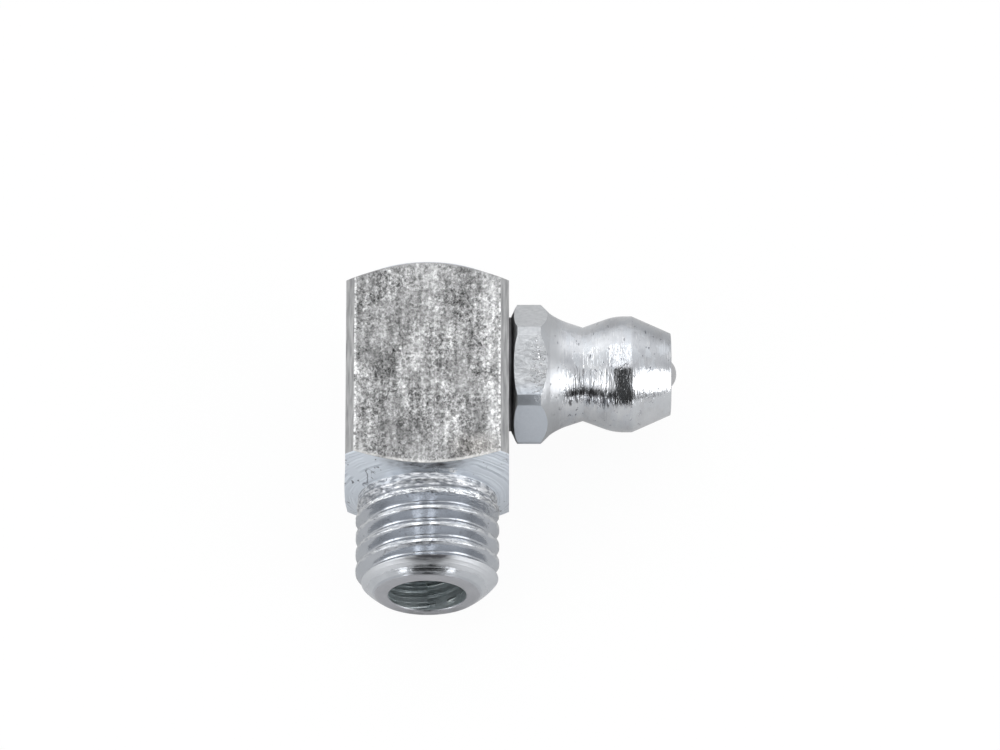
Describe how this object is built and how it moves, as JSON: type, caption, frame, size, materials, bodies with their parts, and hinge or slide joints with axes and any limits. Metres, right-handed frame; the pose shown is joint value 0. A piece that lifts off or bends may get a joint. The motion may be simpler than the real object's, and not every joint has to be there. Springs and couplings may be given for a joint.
{
  "type": "grease nipple",
  "caption": "Right-angle grease nipple: square body with a threaded, bored stub and a side coupling head with a sprung ball valve.",
  "frame": {"origin": "on the axis of the threaded stub, in the plane where the side flats of the square body end at its shoulder", "axes": "+X along the coupling head towards its ball, -Y along the threaded stub towards its free end, +Z out of the flat that faces up; the part lies on its opposite flat"},
  "size_m": [0.0183, 0.0182, 0.009],
  "materials": {
    "plated_body": "zinc-plated steel, drawn flats and turned ends",
    "plated_head": "zinc-plated steel, turned",
    "ball_steel": "polished bearing ball",
    "spring_steel": "drawn spring wire"
  },
  "bodies": {
    "fitting": {"elbow_body": "plated_body", "nipple_head": "plated_head", "ball_spring": "spring_steel"},
    "valve_ball": {"check_ball": "ball_steel"}
  },
  "joints": [
    {"name": "ball_slide", "type": "slide", "parent": "fitting", "child": "valve_ball", "axis": [-1, 0, 0], "range_m": [0, 0.001], "stiffness_N_per_m": 700, "springref_m": -0.001, "deforming": ["ball_spring"]}
  ]
}
